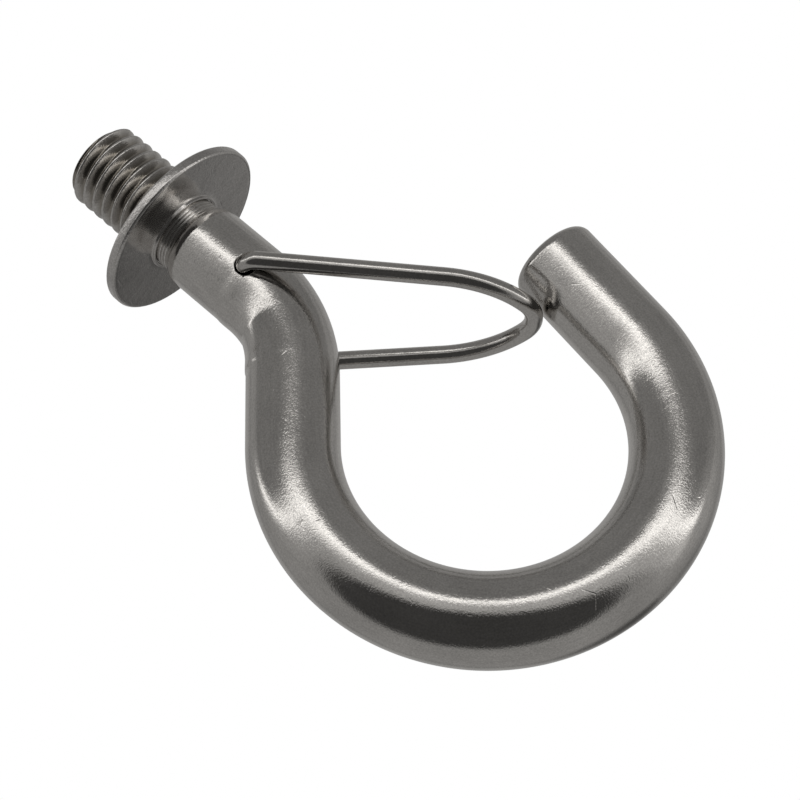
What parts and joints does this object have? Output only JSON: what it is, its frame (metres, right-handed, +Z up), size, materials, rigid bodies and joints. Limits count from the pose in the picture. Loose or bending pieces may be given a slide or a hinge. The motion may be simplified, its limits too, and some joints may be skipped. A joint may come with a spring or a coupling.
{
  "type": "eye hook with latch",
  "caption": "Bent round-bar lifting hook with a threaded stud, a turning flange collar and a sprung wire latch closing its mouth.",
  "frame": {"origin": "on the stud axis, in the plane of the collar's upper seating face", "axes": "+Z up along the stud, +X towards the hook's mouth, the hook is bent in the XZ plane and Y is its thickness"},
  "size_m": [0.0619, 0.0252, 0.0962],
  "materials": {
    "hook_steel": "satin polished stainless steel with fine pits and bright highlights",
    "collar_steel": "turned and polished stainless steel",
    "wire_steel": "drawn stainless spring wire, smooth, with fine lengthwise lines"
  },
  "bodies": {
    "hook": {"hook": "hook_steel"},
    "collar": {"collar": "collar_steel"},
    "latch": {"latch": "wire_steel"}
  },
  "joints": [
    {"name": "latch_swing", "type": "hinge", "parent": "hook", "child": "latch", "pos_m": [-0.0005, 0, -0.01395], "axis": [0, 1, 0], "range_deg": [0, 38], "stiffness_Nm_per_rad": 0.06, "springref_deg": -8.59},
    {"name": "collar_turn", "type": "hinge", "parent": "hook", "child": "collar", "pos_m": [0, 0, -0.001], "axis": [0, 0, 1], "continuous": true}
  ]
}
